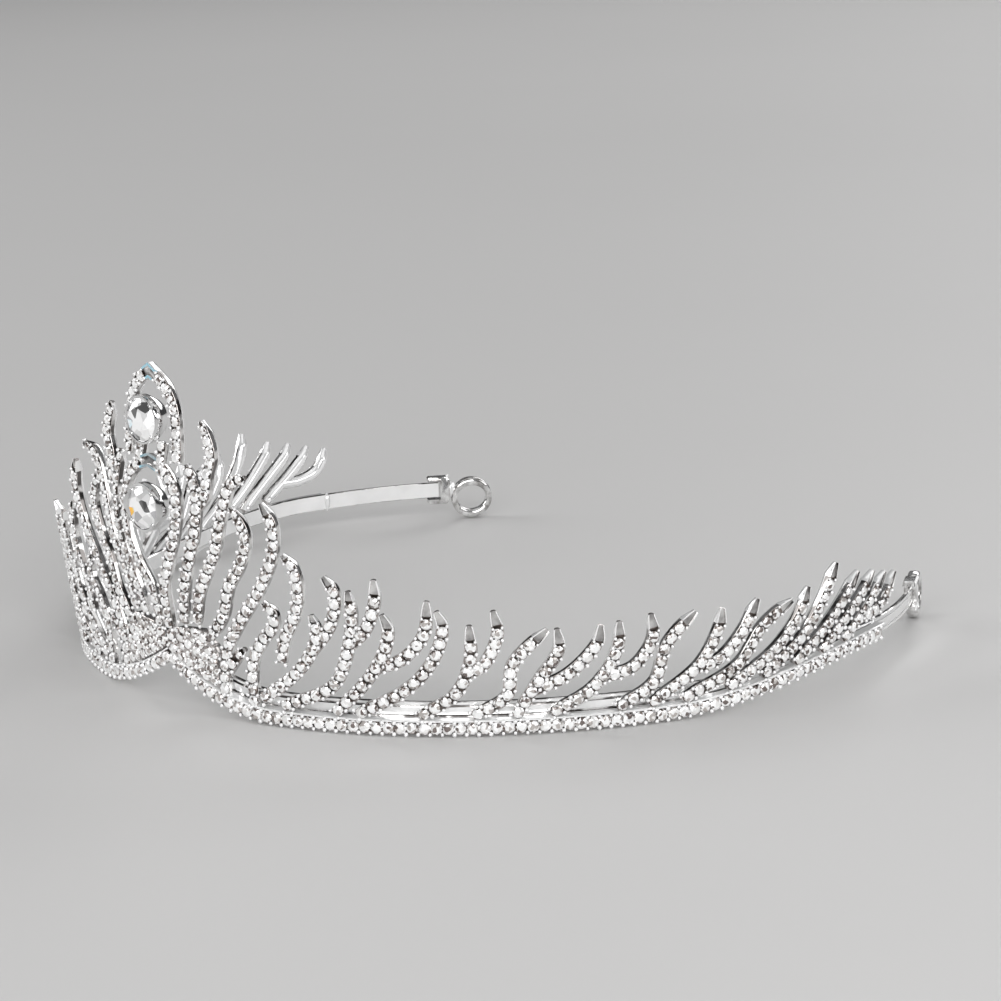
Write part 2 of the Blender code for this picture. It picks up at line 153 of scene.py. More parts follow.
def heading(s):
    """Direction of the base line at s, in radians."""
    return turned(s, FRONT_LENGTH, FRONT_RADII) + turned(s - FRONT_LENGTH, ARM_LENGTH, ARM_RADII)


def base_line(step=0.5, end=200.0):
    """The base line's s, x and y."""
    s = np.arange(0.0, end + step, step)
    middle = [heading(a + step / 2.0) for a in s[:-1]]
    x = np.concatenate(([0.0], np.cumsum(np.cos(middle)) * step))
    y = np.concatenate(([0.0], np.cumsum(np.sin(middle)) * step))
    return s, x, y


BASE_S, BASE_X, BASE_Y = base_line()


def lower_edge(s):
    """Height of the rail's lower edge."""
    notch = max(0.0, 1.0 - abs(s) / NOTCH_LENGTH)
    rise = END_RISE * smooth_step((abs(s) - RISE_START) / RISE_LENGTH)
    return NOTCH_HEIGHT * notch * notch + rise - RAIL_DROP


def band_low(s):
    """Height of the inner band's lower edge."""
    drop = BAND_LIFT + END_RISE - RAIL_DROP - STRAP_LOW
    share = smooth_step((abs(s) - RISE_START) / (RAIL_END - RISE_START))
    return lower_edge(s) + BAND_LIFT - drop * share


def rail_places():
    """Places along one side, closer together in the notch, where the rail bends most."""
    notch = np.linspace(RAIL_START, NOTCH_LENGTH, 40)
    return np.concatenate((notch, np.linspace(NOTCH_LENGTH, RAIL_END, 130)[1:]))


def upright(s, h, out):
    """A point outside the base line, in millimetres in the CAD frame."""
    side = -1.0 if s < 0.0 else 1.0
    angle = heading(abs(s))
    x = np.interp(abs(s), BASE_S, BASE_X) + math.sin(angle) * out
    y = np.interp(abs(s), BASE_S, BASE_Y) - math.cos(angle) * out
    return np.array((side * x, y - FRONT_TO_MIDDLE, h + RAIL_DROP))


def wall(s, h, out=0.0):
    """A point of the leaning, bellied wall."""
    belly = BELLY_DEPTH * math.exp(-((h - BELLY_HEIGHT) / BELLY_SPREAD) ** 2)
    lean = np.interp(abs(s), LEAN_PLACES, LEANS) * h
    return upright(s, h, lean + belly * smooth_step(1.0 - abs(s) / BELLY_LENGTH) + out)


def unit(v):
    """v at length 1."""
    return v / np.linalg.norm(v)


def directions(s, h, point=wall, d=0.2):
    """Unit vectors at (s, h): along the wall, up the wall and out of it."""
    along = unit(point(s + d, h, 0.0) - point(s - d, h, 0.0))
    up = unit(point(s, h + d, 0.0) - point(s, h - d, 0.0))
    return along, up, unit(np.cross(along, up))


def smooth_path(points, step):
    """Points about step apart on the castings' curve through the given (s, h) points."""
    given = [np.array(point, dtype=float) for point in points]
    given = [2.0 * given[0] - given[1]] + given + [2.0 * given[-1] - given[-2]]
    path = []
    for i in range(1, len(given) - 2):
        a, b, c, d = given[i - 1:i + 3]
        count = max(1, round(float(np.linalg.norm(c - b)) / step))
        for t in (k / count for k in range(count)):
            bend = b + 0.5 * t * (c - a)
            bend = bend + t * t * (a - 2.5 * b + 2.0 * c - 0.5 * d)
            path.append(bend + t * t * t * (1.5 * b - 1.5 * c + 0.5 * d - 0.5 * a))
    path.append(given[-2])
    return path


# ---------------- materials
class Look:
    """A material under construction."""

    def __init__(self, name):
        self.made = bpy.data.materials.new(name)
        self.made.use_nodes = True
        self.nodes = self.made.node_tree.nodes
        self.links = self.made.node_tree.links
        self.shader = self.nodes["Principled BSDF"]
        self.place = self.nodes.new("ShaderNodeTexCoord").outputs["Object"]

    def set(self, **values):
        """Values that are the same all over the surface; _ stands for a space in a socket's name."""
        for name, value in values.items():
            self.shader.inputs[name.replace("_", " ")].default_value = value

    def stretched(self, factors):
        """The place on the surface, scaled by a factor along each axis."""
        node = self.nodes.new("ShaderNodeMapping")
        node.inputs["Scale"].default_value = factors
        self.links.new(self.place, node.inputs["Vector"])
        return node.outputs["Vector"]

    def noise(self, size, detail=3.0, place=None):
        """Noise whose features are about size metres."""
        node = self.nodes.new("ShaderNodeTexNoise")
        node.inputs["Scale"].default_value = 1.0 / size
        node.inputs["Detail"].default_value = detail
        self.links.new(place or self.place, node.inputs["Vector"])
        return node.outputs["Fac"]

    def cells(self, size):
        """A random value for each cell of about size metres."""
        node = self.nodes.new("ShaderNodeTexVoronoi")
        node.inputs["Scale"].default_value = 1.0 / size
        self.links.new(self.place, node.inputs["Vector"])
        split = self.nodes.new("ShaderNodeSeparateColor")
        self.links.new(node.outputs["Color"], split.inputs["Color"])
        return split.outputs["Red"]

    def ramp(self, value, stops, hard=False):
        """Colour for a value from 0 to 1, blended between the stops unless hard."""
        node = self.nodes.new("ShaderNodeValToRGB")
        node.color_ramp.interpolation = "CONSTANT" if hard else "LINEAR"
        while len(node.color_ramp.elements) < len(stops):
            node.color_ramp.elements.new(0.5)
        for element, (place, colour) in zip(node.color_ramp.elements, stops):
            element.position = place
            element.color = (*colour, 1.0)
        self.links.new(value, node.inputs["Fac"])
        return node.outputs["Color"]

    def scaled(self, value, low, high):
        """A value from 0 to 1 spread over low to high."""
        node = self.nodes.new("ShaderNodeMapRange")
        node.inputs["To Min"].default_value = low
        node.inputs["To Max"].default_value = high
        self.links.new(value, node.inputs["Value"])
        return node.outputs["Result"]

    def drive(self, name, value):
        """Link a value to one of the shader's sockets."""
        self.links.new(value, self.shader.inputs[name])

    def bump(self, value, depth):
        """Bumps about depth metres deep."""
        node = self.nodes.new("ShaderNodeBump")
        node.inputs["Strength"].default_value = 1.0
        node.inputs["Distance"].default_value = depth
        self.links.new(value, node.inputs["Height"])
        self.links.new(node.outputs["Normal"], self.shader.inputs["Normal"])


def cast_look():
    """Plated casting between the stones, a little uneven; its grey, darker than bare silver, is painted
    dark reflection.
    """
    look = Look("bright_casting")
    look.set(Metallic=0.85)
    stops = [(0.3, (0.42, 0.38, 0.36)), (0.7, (0.74, 0.72, 0.71))]
    look.drive("Base Color", look.ramp(look.noise(0.003), stops))
    look.drive("Roughness", look.scaled(look.noise(0.0012), 0.08, 0.28))
    look.bump(look.noise(0.0014, 4.0), 0.00003)
    return look.made


def channel_look():
    """Painted shade: dark, slightly brown metal inside the stones' channels, for the shade between the
    stones.
    """
    look = Look("channel_metal")
    look.set(Metallic=1.0, Roughness=0.4)
    stops = [(0.3, (0.10, 0.08, 0.07)), (0.7, (0.30, 0.26, 0.24))]
    look.drive("Base Color", look.ramp(look.noise(0.001), stops))
    return look.made


def polished_look(name, low=(0.88,) * 3, high=(1.0,) * 3, metallic=0.42, patch=0.005, spread=0.2):
    """Polished plate with faint lengthwise lines; its colour runs from low to high in patches.

    The patches are about patch metres wide, and a small spread gives them sharp edges.
    """
    look = Look(name)
    look.set(Metallic=metallic, Coat_Weight=0.6, Coat_Roughness=0.03)
    lines = look.noise(0.0006, 4.0, look.stretched((0.2, 0.2, 3.0)))
    stops = [(0.5 - spread, low), (0.5 + spread, high)]
    look.drive("Base Color", look.ramp(look.noise(patch), stops))
    look.drive("Roughness", look.scaled(lines, 0.06, 0.18))
    look.bump(look.noise(0.004, 2.0), 0.00005)
    return look.made


def stone_look(name, size, stops):
    """Stone with painted reflections: each patch is painted its own brightness, for the light its facets
    and foil send back.
    """
    look = Look(name)
    look.set(Metallic=0.30, Roughness=0.10, IOR=1.55, Coat_Weight=1.0, Coat_Roughness=0.02)
    look.drive("Base Color", look.ramp(look.cells(size), stops, hard=True))
    return look.made


def crystal_look():
    """Large crystal with painted reflections: broad facets painted bright and a few grey, for the light its
    facets and foil send back.
    """
    look = Look("large_crystal")
    look.set(Metallic=0.35, Roughness=0.05, IOR=1.58, Coat_Weight=1.0, Coat_Roughness=0.0)
    stops = [(0.0, (0.12, 0.12, 0.12)), (0.07, (0.45, 0.45, 0.46)), (0.20, (0.80, 0.80, 0.80)),
             (0.42, (1.0, 1.0, 1.0))]
    look.drive("Base Color", look.ramp(look.cells(0.0019), stops, hard=True))
    return look.made


def glint_look(name, low, high):
    """Painted glint: a patch of a crystal painted in a single colour of light."""
    look = Look(name)
    look.set(Metallic=0.2, Roughness=0.08, Coat_Weight=1.0)
    look.drive("Base Color", look.ramp(look.noise(0.0008), [(0.35, low), (0.65, high)]))
    return look.made


def foil_look():
    """The silvered back of a crystal."""
    look = Look("crystal_foil")
    look.set(Metallic=1.0, Roughness=0.12)
    stops = [(0.0, (0.45, 0.45, 0.45)), (0.5, (0.9, 0.9, 0.9))]
    look.drive("Base Color", look.ramp(look.cells(0.0022), stops, hard=True))
    return look.made


CAST = cast_look()
CHANNEL = channel_look()
POLISHED = polished_look("polished_plate")
# Painted reflection: polished sides in sharp-edged dark and bright patches, for the dark surroundings and
# lamps they mirror.
SHADE = polished_look("shaded_side", (0.14, 0.13, 0.125), (0.95, 0.94, 0.93), 0.9, 0.0035, 0.06)
# Painted reflection: the frames' bare rims are painted pale blue in patches, for a blue reflection in the
# polished metal.
PAINTED_BLUE_REFLECTION = polished_look("painted_blue_reflection_plate", (0.22, 0.62, 0.80), (0.86, 0.94, 0.97), 0.6)
# Painted highlight: the table and the crown facets round it are painted mostly white, for the glare of the
# lamps.
STONE_TOP = stone_look("small_stone_top", 0.0007, [
    (0.0, (0.16, 0.13, 0.12)), (0.10, (0.48, 0.45, 0.43)),
    (0.24, (0.86, 0.85, 0.84)), (0.45, (1.0, 1.0, 1.0))])
# Painted shade and dark reflection: the girdle and back facets are painted darker and browner.
STONE_EDGE = stone_look("small_stone_edge", 0.0005, [
    (0.0, (0.03, 0.02, 0.015)), (0.20, (0.18, 0.14, 0.12)),
    (0.42, (0.60, 0.57, 0.55)), (0.56, (1.0, 1.0, 1.0))])
CRYSTAL = crystal_look()
WARM_GLINT = glint_look("warm_glint", (1.0, 0.40, 0.02), (1.0, 0.72, 0.10))
COOL_GLINT = glint_look("cool_glint", (0.45, 0.70, 0.80), (0.90, 0.95, 0.97))
# Painted reflection: the clamps and end rings in dark grey to white patches, for the dark surroundings and
# lamps their polished metal mirrors.
PAINTED_REFLECTION_CAST = polished_look("painted_reflection_cast", (0.28, 0.27, 0.26), (1.0, 1.0, 1.0), 0.75, 0.0016)
COLLAR = polished_look("mirror_collar", (0.55, 0.55, 0.55), (0.95, 0.95, 0.95), 1.0)
FOIL = foil_look()
# Painted reflection: the hollows of bare tips in dark and pale patches, for the dark surroundings and lamps
# they mirror.
TIP_HOLLOW = polished_look("tip_hollow", (0.20, 0.19, 0.19), (0.95, 0.94, 0.93), 1.0, 0.003)

# A casting's looks, and their places in that list.
METALS = [CAST, CHANNEL, POLISHED, PAINTED_BLUE_REFLECTION, SHADE, TIP_HOLLOW]
CAST_SIDE, DARK_SIDE, BRIGHT_SIDE, BLUE_REFLECTION_SIDE, SHADE_SIDE, TIP_SIDE = range(6)
STONES = [STONE_TOP, STONE_EDGE]


# ---------------- shapes
class Shape:
    """Points and faces in millimetres that become one named piece."""

    def __init__(self):
        self.points = []
        self.faces = []
        self.looks = []
        self.count = 0

    def add(self, points, faces, looks=None):
        """Take in more points, and faces that count from the first of them."""
        self.points.append(np.asarray(points, dtype=float))
        self.faces.extend([tuple(self.count + i for i in face) for face in faces])
        self.looks.extend(looks or [0] * len(faces))
        self.count += len(points)

    def rings(self, rings, looks=None, closed=False):
        """A skin through equal rings of points, capped unless closed, with a row of looks for each ring."""
        count = len(rings[0])
        faces, face_looks = [], []
        pairs = [(i, i + 1) for i in range(len(rings) - 1)]
        if closed:
            pairs.append((len(rings) - 1, 0))
        for a, b in pairs:
            for i in range(count):
                j = (i + 1) % count
                faces.append((a * count + i, a * count + j, b * count + j, b * count + i))
                face_looks.append(looks[a][i] if looks else 0)
        if not closed:
            faces.append(tuple(range(count)))
            faces.append(tuple((len(rings) - 1) * count + i for i in range(count)))
            face_looks += [0, 0]
        self.add(np.concatenate([np.asarray(ring) for ring in rings]), faces, face_looks)

    def make(self, name, looks, slot, replaced=(), smooth=True, sharp=38.0):
        """The finished piece."""
        mesh = bpy.data.meshes.new(name)
        mesh.from_pydata(np.concatenate(self.points) * MM, [], self.faces)
        mesh.polygons.foreach_set("material_index", self.looks)
        bm = bmesh.new()
        bm.from_mesh(mesh)
        bmesh.ops.recalc_face_normals(bm, faces=bm.faces)
        bm.to_mesh(mesh)
        bm.free()
        for look in looks:
            mesh.materials.append(look)
        if smooth:
            mesh.shade_smooth()
            mesh.set_sharp_from_angle(angle=math.radians(sharp))
        made = bpy.data.objects.new(name, mesh)
        bpy.context.scene.collection.objects.link(made)
        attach(made, "root")
        if replaced:
            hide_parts(*replaced)
        return made


def circle_points(count, radius, z, turn=0.0):
    """Points of a circle in a plane at z."""
    angles = (np.arange(count) + turn) * 2.0 * math.pi / count
    return np.stack((radius * np.cos(angles), radius * np.sin(angles), np.full(count, z)), axis=1)


def stone_template():
    """A round cut stone of radius 1 with its girdle at z = 0: points, faces and their looks."""
    table = circle_points(8, 0.55, 0.36)
    stars = circle_points(8, 0.80, 0.23, 0.5)
    girdle = circle_points(16, 1.0, 0.04)
    under = circle_points(16, 1.0, -0.05)
    back = circle_points(8, 0.55, -0.34)
    # Look 0, painted highlight, on the table and the crown facets round it; look 1, painted shade, on the
    # rest.
    faces = [tuple(range(8)), tuple(reversed(range(48, 56)))]
    looks = [0, 1]
    for k in range(8):
        after = (k + 1) % 8
        table_a, table_b, star, last = k, after, 8 + k, 8 + (k - 1) % 8
        g = [16 + (2 * k + i) % 16 for i in range(3)]
        u = [32 + (2 * k + i) % 16 for i in range(3)]
        faces += [(table_a, star, table_b), (table_a, last, g[0]), (table_a, g[0], star)]
        faces += [(star, g[0], g[1]), (star, g[1], g[2])]
        faces += [(g[0], u[0], u[1], g[1]), (g[1], u[1], u[2], g[2])]
        faces += [(u[0], 48 + k, u[1]), (u[1], 48 + k, 48 + after), (u[1], 48 + after, u[2])]
        looks += [0, 0, 0] + [1] * 7
    return np.concatenate((table, stars, girdle, under, back)), faces, looks


def bead_template(sides=8, levels=5):
    """A ball of radius 1: points and faces."""
    points = [(0.0, 0.0, 1.0)]
    for level in range(1, levels):
        angle = math.pi * level / levels
        points.extend(circle_points(sides, math.sin(angle), math.cos(angle)))
    points.append((0.0, 0.0, -1.0))
    last = len(points) - 1
    faces = [(0, 1 + i, 1 + (i + 1) % sides) for i in range(sides)]
    for level in range(levels - 2):
        a, b = 1 + level * sides, 1 + (level + 1) * sides
        faces += [(a + i, b + i, b + (i + 1) % sides, a + (i + 1) % sides) for i in range(sides)]
    a = last - sides
    faces += [(last, a + (i + 1) % sides, a + i) for i in range(sides)]
    return np.array(points), faces


STONE_POINTS, STONE_FACES, STONE_LOOKS = stone_template()
BEAD_POINTS, BEAD_FACES = bead_template()

# Small stones: how far the girdle stands out, how much they tilt, their pitch and radius in a row.
STONE_OUT = -0.22
TILT = 0.07
PITCH = 2.1
STONE_RADIUS = 1.02


def add_stone(shape, centre, along, out, radius):
    """One small stone with its girdle at centre, turned and tilted a little at random."""
    turn = draw.uniform(0.0, math.pi)
    out = unit(out + TILT * draw.normal(size=3))
    first = unit(along - out * np.dot(along, out))
    second = np.cross(out, first)
    a = math.cos(turn) * first + math.sin(turn) * second
    b = np.cross(out, a)
    shape.add(centre + radius * STONE_POINTS @ np.array((a, b, out)), STONE_FACES, STONE_LOOKS)


def add_bead(shape, centre, radius):
    """One bead."""
    shape.add(centre + radius * BEAD_POINTS, BEAD_FACES, [BRIGHT_SIDE] * len(BEAD_FACES))


# Castings: their widths, how far out the rims and the floor between them stand where the channel is set
# with stones and where it is bare, and how far out the back is.  The change from set to bare takes
# CHANGE_LENGTH.
BODY_WIDTH = 2.3
TIP_WIDTH = 1.15
ROOT_WIDTH = 1.5
ROOT_LENGTH = 3.0
SET_RIM, SET_FLOOR = -0.34, -0.62
BARE_RIM, BARE_FLOOR = -0.02, -0.30
BACK = -2.0
TIP_BACK = -0.9
LIP = 0.22
CHANGE_LENGTH = 0.4
CURVE_STEP = 0.45


def channel_outline(width, rim, floor, back, lip=LIP):
    """Cross-section of a casting: rounded back, straight sides, two rims and a floor between them."""
    half = width / 2.0
    wall_in = min(lip + 0.06, half * 0.45)
    lip = min(lip, half * 0.4)
    side = [(half * 0.35, back), (half * 0.7, back + 0.25), (half * 0.94, back + 0.8),
            (half, rim - 0.05), (half - 0.04 * min(1.0, half), rim), (half - lip, rim),
            (half - wall_in, floor)]
    return side + [(-a, o) for a, o in reversed(side)]


def channel_levels(open_share):
    """How far out the rims and the floor are: set with stones at 0, bare at 1."""
    rim = SET_RIM + (BARE_RIM - SET_RIM) * open_share
    floor = SET_FLOOR + (BARE_FLOOR - SET_FLOOR) * open_share
    return rim, floor


def channel_looks(bare, rim_look):
    """Looks of the sides between a channel outline's points; bare is true along a polished tip."""
    # Set channels are painted shade inside and get painted reflection patches on their side walls; bare
    # tips and bare frame stretches get painted reflection patches inside.
    rim, inside = (rim_look, TIP_SIDE) if bare else (CAST_SIDE, DARK_SIDE)
    if rim == BLUE_REFLECTION_SIDE:
        inside = SHADE_SIDE
    wall_look = BRIGHT_SIDE if bare else SHADE_SIDE
    half = [BRIGHT_SIDE, BRIGHT_SIDE, wall_look, rim, rim, inside]
    return half + [inside] + half[::-1] + [BRIGHT_SIDE]


class Run:
    """A casting's centre line in the wall, measured along its length in millimetres."""

    def __init__(self, points, side=1, point=wall, step=CURVE_STEP):
        self.flat = [np.array((side * s, h)) for s, h in smooth_path(points, step)]
        self.point = point
        self.places = np.array([point(s, h, 0.0) for s, h in self.flat])
        steps = np.linalg.norm(np.diff(self.places, axis=0), axis=1)
        self.at = np.concatenate(([0.0], np.cumsum(steps)))
        self.length = self.at[-1]

    def spot(self, distance):
        """The (s, h) place at a distance along the run."""
        s = np.interp(distance, self.at, [p[0] for p in self.flat])
        h = np.interp(distance, self.at, [p[1] for p in self.flat])
        return s, h

    def axes(self, distance):
        """Centre, along, across and out at a distance."""
        s, h = self.spot(distance)
        before = self.point(*self.spot(max(distance - 0.3, 0.0)), 0.0)
        after = self.point(*self.spot(min(distance + 0.3, self.length)), 0.0)
        along = unit(after - before)
        out = directions(s, h, self.point)[2]
        out = unit(out - along * np.dot(out, along))
        return self.point(s, h, 0.0), along, np.cross(out, along), out


def tip_share(left, taper):
    """How wide a casting is, as a share of its full width, left millimetres before its tip."""
    return 1.0 - (1.0 - min(1.0, left / taper)) ** 1.7


def body_width(left, taper):
    """Width of a casting left millimetres before its tip."""
    return TIP_WIDTH + (BODY_WIDTH - TIP_WIDTH) * tip_share(left, taper)


def add_body(shape, run, taper, bare, raised=0.0, root_width=ROOT_WIDTH):
    """A casting's metal along run: a channel, then a polished tip that is bare millimetres long."""
    rings, looks = [], []
    for distance in run.at:
        left = run.length - distance
        root = np.interp(distance, (0.0, ROOT_LENGTH), (root_width, BODY_WIDTH))
        width = min(body_width(left, taper), root)
        open_share = smooth_step((bare - left) / CHANGE_LENGTH)
        rim, floor = channel_levels(open_share)
        back = np.interp(left, (0.0, 0.5 * taper), (TIP_BACK, BACK))
        centre, along, across, out = run.axes(distance)
        outline = channel_outline(width, rim, floor, back)
        rings.append([centre + a * across + (o + raised) * out for a, o in outline])
        looks.append(channel_looks(open_share > 0.5, BRIGHT_SIDE))
    shape.rings(rings, looks)


# Beads: their radius and how far from the row's middle, both for a stone of radius 1.  Stones of
# neighbouring rows stay CLEARANCE apart.  In a tapering row no step is shorter than SMALLEST_STEP of the
# pitch, and the last beads stand as if beside a stone of radius LAST_BEADS.
BEAD_RADIUS = 0.36
BEAD_SIZES = (0.85, 1.15)
BEAD_ACROSS = 0.96
BEAD_OUT = -0.10
CLEARANCE = 1.75
SMALLEST_STEP = 0.62
LAST_BEADS = 0.85


def clear_of(taken, place, reach):
    """True if place is at least reach from every place already taken."""
    return all((place[0] - s) ** 2 + (place[1] - h) ** 2 > reach * reach for s, h in taken)


def set_stones(stones, metal, run, start, end, taper, taken):
    """A row of stones from start to end, with beads between them; returns where the last stone ends."""
    while start < end and not clear_of(taken, run.spot(start), CLEARANCE):
        start += 0.15
    count = max(1, round((end - start) / PITCH))
    pitch = (end - start) / count if end - start > PITCH else PITCH
    last, reach = None, start
    distance = start
    while distance <= end + 0.6:
        width = body_width(run.length - distance, taper)
        radius = STONE_RADIUS * min(1.0, (width + 0.1) / BODY_WIDTH)
        place = run.spot(distance)
        centre, along, across, out = run.axes(distance)
        if clear_of(taken, place, CLEARANCE):
            taken.append(place)
            add_stone(stones, centre + STONE_OUT * out, along, out, radius)
            reach = distance + radius
            if last is None:
                pair_beads(metal, run, max(0.0, distance - radius * 1.02), radius)
        if last is not None:
            pair_beads(metal, run, (last + distance) / 2.0, radius)
        last = distance
        distance += pitch * max(SMALLEST_STEP, radius)
    pair_beads(metal, run, min(reach + 0.02, run.length), LAST_BEADS)
    return reach


def pair_beads(metal, run, distance, radius):
    """Two beads, one on each edge, beside stones of the given radius."""
    centre, along, across, out = run.axes(distance)
    for side in (-1.0, 1.0):
        size = BEAD_RADIUS * draw.uniform(*BEAD_SIZES) * max(0.7, radius)
        add_bead(metal, centre + side * BEAD_ACROSS * radius * across + BEAD_OUT * out, size)


# ---------------- flames
def bare_length(s):
    """Length of the bare polished tip of a flame that stands at s."""
    return np.interp(abs(s), (20.0, 34.0, 46.0, 150.0), (2.0, 3.0, 4.4, 4.6))


# Flames: a root below LOW_ROOT stands on the base channel and sinks into it, a tip narrows over TAPER, and
# a branch lies a little behind its trunk's front.
LOW_ROOT = 8.0
ROOT_SINK = 0.8
TAPER = 4.6
BRANCH_OUT = -0.08
FIRST_ON_TRUNK = 1.1
FIRST_ON_BRANCH = 0.6


def make_flame(number, trunk, branch, side, word, taken):
    """One flame's metal and stones."""
    metal, stones = Shape(), Shape()
    for points, raised, first, root_width in ((trunk, 0.0, FIRST_ON_TRUNK, ROOT_WIDTH),
                                              (branch, BRANCH_OUT, FIRST_ON_BRANCH, BODY_WIDTH)):
        if not points:
            continue
        root = np.array(points[0])
        if points is trunk and root[1] < LOW_ROOT:
            root = root + ROOT_SINK * unit(root - np.array(points[1]))
        run = Run((tuple(root), *points[1:]), side)
        end = run.length - float(bare_length(points[-1][0]))
        reach = set_stones(stones, metal, run, first, end, TAPER, taken)
        add_body(metal, run, TAPER, run.length - reach, raised, root_width)
    node = f"flame_{number:02d}_{word}"
    metal.make(f"flame_{number:02d}_casting_{word}", METALS, "silver_casting", [node])
    stones.make(f"flame_{number:02d}_stones_{word}", STONES, "cut_crystal", smooth=False)


# ---------------- pointed frames
# How far a row's first and last stone are from the ends of a frame or post.  A post ends bluntly and has no
# bare tip, and a frame's rims are wider by WIDER_LIP where it is bare.
FIRST_ON_FRAME = 0.9
POST_START, POST_END = 0.8, 0.9
FRAME_TAPER = 1.0
BLUNT = 0.1
NOT_BARE = -1.0
WIDER_LIP = 0.28


def make_frame(word, points, taken, bare, posts=False):
    """A pointed frame: a mitred channel with a row of stones down each side, and maybe two posts."""
    metal, stones = Shape(), Shape()
    for side in (1, -1):
        run = Run(list(reversed(points)), side)
        reach = set_stones(stones, metal, run, FIRST_ON_FRAME, run.length - bare, FRAME_TAPER, taken)
        if posts:
            post = Run(((POST_PLACE, POST_FOOT), (POST_PLACE, POST_TOP)), side)
            add_body(metal, post, BLUNT, NOT_BARE)
            set_stones(stones, metal, post, POST_START, post.length - POST_END, BLUNT, taken)
    half = smooth_path(points, CURVE_STEP)
    path = [np.array((-s, h)) for s, h in half[:0:-1]] + half
    rings, looks = [], []
    for i, (s, h) in enumerate(path):
        before, after = path[max(i - 1, 0)], path[min(i + 1, len(path) - 1)]
        flat = unit(after - before)
        mitre = np.linalg.norm(after - (s, h)) / after[0] if s == 0.0 else 1.0
        left = sum(np.linalg.norm(b - a) for a, b in zip(half, half[1:]) if a[1] > h)
        open_share = smooth_step((run.length - reach - left) / CHANGE_LENGTH)
        rim, floor = channel_levels(open_share)
        along, up, out = directions(s, h)
        across = -flat[1] * along + flat[0] * up
        centre = wall(s, h)
        outline = channel_outline(BODY_WIDTH, rim, floor, BACK, LIP + WIDER_LIP * open_share)
        rings.append([centre + a * mitre * across + o * out for a, o in outline])
        looks.append(channel_looks(open_share > 0.5, BLUE_REFLECTION_SIDE))
    metal.rings(rings, looks)
    metal.make(word + "_frame_casting", METALS, "silver_casting", [word + "_frame"])
    stones.make(word + "_frame_stones", STONES, "cut_crystal", smooth=False)


# ---------------- apron and base rails
def apron_high(s):
    """Upper edge of the apron."""
    places, heights = zip(*APRON_TOP)
    return float(np.interp(abs(s), places, heights))


# Apron: rows of stones set like bricks, whose first row stands APRON_FOOT over the plate's lower edge.
APRON_ROWS = 5
APRON_FOOT = 0.85
APRON_PITCH = 1.95
APRON_SHIFT = 0.98
APRON_RISE = 1.72
APRON_CLEARANCE = 1.6
APRON_STONE = 0.93
APRON_EDGE = 0.1


def apron_low(s):
    """Lower edge of the apron."""
    return lower_edge(s) + RAIL_HEIGHT + GAP


def make_apron(taken):
    """The plate above the notch, filled with stones and beads between the flames' feet."""
    metal, stones = Shape(), Shape()
    end = APRON_TOP[-1][0]
    rings = []
    for s in np.linspace(-end, end, 60):
        low, high = apron_low(s), apron_high(s)
        outline = ((low, BACK), (low, SET_RIM - APRON_EDGE), (low + APRON_EDGE, SET_RIM),
                   (high - APRON_EDGE, SET_RIM), (high, SET_RIM - APRON_EDGE), (high, BACK))
        rings.append([wall(s, h, o) for h, o in outline])
    metal.rings(rings)
    foot = RAIL_HEIGHT + GAP + APRON_FOOT
    for row in range(APRON_ROWS):
        for s in np.arange(-end + 0.95, end - 0.9, APRON_PITCH) + APRON_SHIFT * (row % 2):
            h = lower_edge(s) + foot + APRON_RISE * row
            if h > apron_high(s) - 0.5 or not clear_of(taken, (s, h), APRON_CLEARANCE):
                continue
            taken.append((s, h))
            along, up, out = directions(s, h)
            add_stone(stones, wall(s, h) + STONE_OUT * out, along, out, APRON_STONE)
    fill_gaps(metal, stones, taken, end)
    metal.make("apron_plate", METALS, "silver_casting", ["front_apron"])
    stones.make("apron_stones", STONES, "cut_crystal", smooth=False)


def fill_gaps(metal, stones, taken, end):
    """Small stones, then beads, a little scattered, in what the apron's rows leave free."""
    for is_stone, reach, step in ((True, 1.36, 0.5), (False, 1.02, 0.55)):
        for s in np.arange(-end + 0.4, end - 0.3, step):
            for h in np.arange(apron_low(s) + 0.3, apron_high(s) - 0.3, step):
                place = (s + draw.uniform(-0.15, 0.15), h + draw.uniform(-0.15, 0.15))
                if not clear_of(taken, place, reach):
                    continue
                if is_stone:
                    taken.append(place)
                    along, up, out = directions(*place)
                    add_stone(stones, wall(*place, -0.18), along, out, 0.62)
                else:
                    add_bead(metal, wall(*place, -0.20), draw.uniform(0.26, 0.34))


def rail_outline(low):
    """Cross-section of the base channel as (h, out), with a thin raised rail along its upper edge."""
    high = low + RAIL_HEIGHT
    return ((low + 0.35, BACK + 0.1), (low + 0.22, SET_RIM - 0.05), (low + 0.3, SET_RIM),
            (low + 0.42, SET_FLOOR), (high - 0.54, SET_FLOOR), (high - 0.46, -0.10),
            (high - 0.36, 0.02), (high - 0.12, 0.02), (high - 0.02, -0.10),
            (high, BACK + 0.3), (high - 0.3, BACK + 0.02))


# Looks of the outline's sides, then the base row: its height, its stones, and the beads beside them.
# The rail's channel floor takes the dark look: painted shade.
RAIL_LOOKS = [CAST_SIDE] * 2 + [DARK_SIDE] * 3 + [BRIGHT_SIDE] * 6
ROW_HEIGHT = 1.28
ROW_START, ROW_END = 1.15, 0.9
ROW_STONE = 1.08
ROW_BEAD = 0.40
ROW_BEAD_ACROSS = 1.02
ROW_BEAD_OUT = -0.06


def rail_middle(s, h, out):
    """The base row's own surface: its h is the height above the lower edge."""
    return upright(s, lower_edge(s) + h, out)


